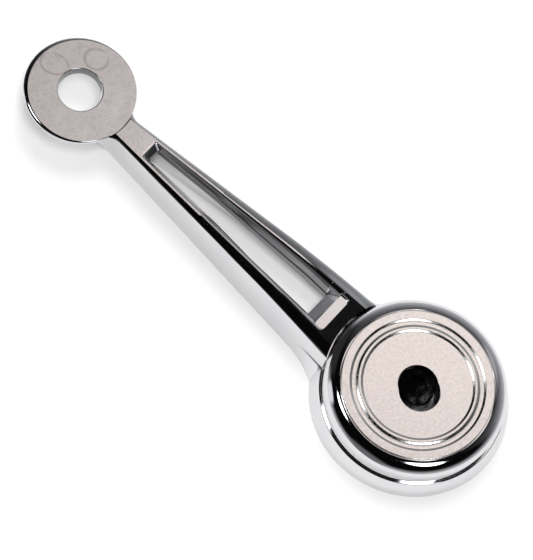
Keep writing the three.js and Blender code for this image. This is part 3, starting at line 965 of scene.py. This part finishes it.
# Studio sky that polished metal mirrors. A card's place and half-size are in the plan of the sky,
# where the middle is straight up and the rim is the horizon.
sky = {
    "diffuse": 0.40, "onFloor": 0.2, "tint": (0.955, 0.97, 1.0, 1), "least": 0.002,
    # levels of the two sides, and where the far side turns into the near one
    "farLevel": 0.60, "farHeight": 0.55,
    "nearLevel": 0.70, "nearFall": 0.76, "nearLeast": 0.006, "nearTurn": (-0.35, -0.85),
    "cards": [
        # name, place, half-size, where it starts to fade, level
        ("end lamp", (-0.38, 0.08), (0.17, 0.15), 0.75, 6.0),
        ("side lamp", (0.33, 0.09), (0.11, 0.10), 0.75, 6.0),
        ("white board", (0.80, 0.46), (0.17, 0.22), 0.5, 0.98),
        ("grey board", (-0.13, -0.70), (0.14, 0.17), 0.3, 0.52),
        ("dark flag", (-0.05, 1.0), (0.5, 0.35), 0.3, 0.18),
        ("tip flag", (0.95, -0.10), (0.42, 0.42), 0.5, 0.03),
    ],
    "warmCard": {"place": (0.13, -0.39), "half": (0.25, 0.14), "fade": 0.45, "level": 1.12,
                 "edge": (-0.045, 0.02), "fallFrom": 0.06, "fall": 3.4, "colour": (1.0, 0.91, 0.876, 1)},
}


def buildSky():
    world = bpy.data.worlds.new("studio")
    bpy.context.scene.world = world
    graph = Graph(world)
    way = graph.node("ShaderNodeTexCoord", None, None, "Generated")
    x, y, z = graph.parts(way)
    flat = graph.node("ShaderNodeVectorMath", {"operation": "MULTIPLY"}, {0: way, 1: (1, 1, 0)})
    flat = graph.node("ShaderNodeVectorMath", {"operation": "NORMALIZE"}, {0: flat})
    flatY = graph.parts(flat)[1]
    farSide = graph.smooth(z, sky["farHeight"], 0.0) * sky["farLevel"]
    nearSide = graph.larger(sky["nearLevel"] - z * sky["nearFall"], sky["nearLeast"])
    level = farSide + (nearSide - farSide) * graph.smooth(flatY, *sky["nearTurn"]) + sky["least"]

    def card(middle, half, fade):
        away = hypot((x - middle[0]) / half[0], (y - middle[1]) / half[1])
        return graph.smooth(away, 1.0, fade)

    for name, middle, half, fade, bright in sky["cards"]:
        level = level + (bright - level) * card(middle, half, fade)
    warm = sky["warmCard"]
    warmed = card(warm["place"], warm["half"], warm["fade"]) * graph.smooth(x, *warm["edge"])
    fall = graph.larger(x - warm["fallFrom"], 0.0) * warm["fall"]
    level = level + (warm["level"] - fall - level) * warmed
    colour = graph.mixed(warmed, sky["tint"], warm["colour"])
    straight, glossy, through, bounces = graph.rays(
        "Is Camera Ray", "Is Glossy Ray", "Is Transmission Ray", "Diffuse Depth")
    # Light that chrome throws on the floor is held back
    fromFloor = graph.node("ShaderNodeMath", {"operation": "MINIMUM"}, {0: bounces, 1: 1.0})
    level = level * (1.0 - fromFloor * (1.0 - sky["onFloor"]))
    mirrored = graph.node("ShaderNodeBackground", None, {"Color": colour, "Strength": level})
    soft = graph.node("ShaderNodeBackground", None, {"Color": (1, 1, 1, 1), "Strength": sky["diffuse"]})
    white = graph.node("ShaderNodeBackground", None, {"Color": (1, 1, 1, 1), "Strength": 1.0})
    shade = graph.node("ShaderNodeMixShader", None,
                       {0: graph.larger(glossy, through), 1: soft, 2: mirrored})
    shade = graph.node("ShaderNodeMixShader", None, {0: straight, 1: shade, 2: white})
    graph.node("ShaderNodeOutputWorld", None, {"Surface": shade})


buildSky()

# Two soft lamps: one lights the floor in the slot, one lays the shadow along the handle's near side
lamps = [
    {"name": "slot lamp", "place": (-0.05, 0.21, 0.97), "size": 0.34, "power": 5.0},
    {"name": "shadow lamp", "place": (0.31, -0.36, 0.85), "size": 0.5, "power": 3.6},
]


def buildLamp(lamp):
    letGo()
    bpy.ops.object.light_add(type="AREA", location=lamp["place"])
    made = bpy.context.active_object
    made.name = lamp["name"]
    made.data.shape = "DISK"
    made.data.size = lamp["size"]
    made.data.energy = lamp["power"]
    made.rotation_euler = (-Vector(lamp["place"])).to_track_quat("-Z", "Y").to_euler()
    made.visible_glossy = False


for lamp in lamps:
    buildLamp(lamp)

# Camera, from the fitted view of the photograph
camera = {"focalPixels": 3745, "turnX": 0.3604, "turnY": 0.1106, "turnZ": 2.4228,
          "shiftX": 34.3, "shiftY": -28.7, "pixelsPerMm": 4.155, "frameHeight": 560,
          "sensor": 36, "clip": (0.01, 100)}


def buildCamera():
    turn = (Matrix.Rotation(-camera["turnX"], 3, "X") @ Matrix.Rotation(-camera["turnY"], 3, "Y")
            @ Matrix.Rotation(-camera["turnZ"], 3, "Z"))
    away = camera["focalPixels"] / camera["pixelsPerMm"]
    place = turn @ Vector((-camera["shiftX"], -camera["shiftY"], away)) * mm
    data = bpy.data.cameras.new("camera")
    data.sensor_fit = "AUTO"
    data.sensor_width = camera["sensor"]
    data.lens = camera["focalPixels"] / camera["frameHeight"] * camera["sensor"]
    data.clip_start, data.clip_end = camera["clip"]
    made = bpy.data.objects.new("camera", data)
    bpy.context.scene.collection.objects.link(made)
    made.matrix_world = Matrix.Translation(place) @ turn.to_4x4()
    bpy.context.scene.camera = made


buildCamera()
bpy.context.scene.view_settings.view_transform = "Standard"
print("studio ready")
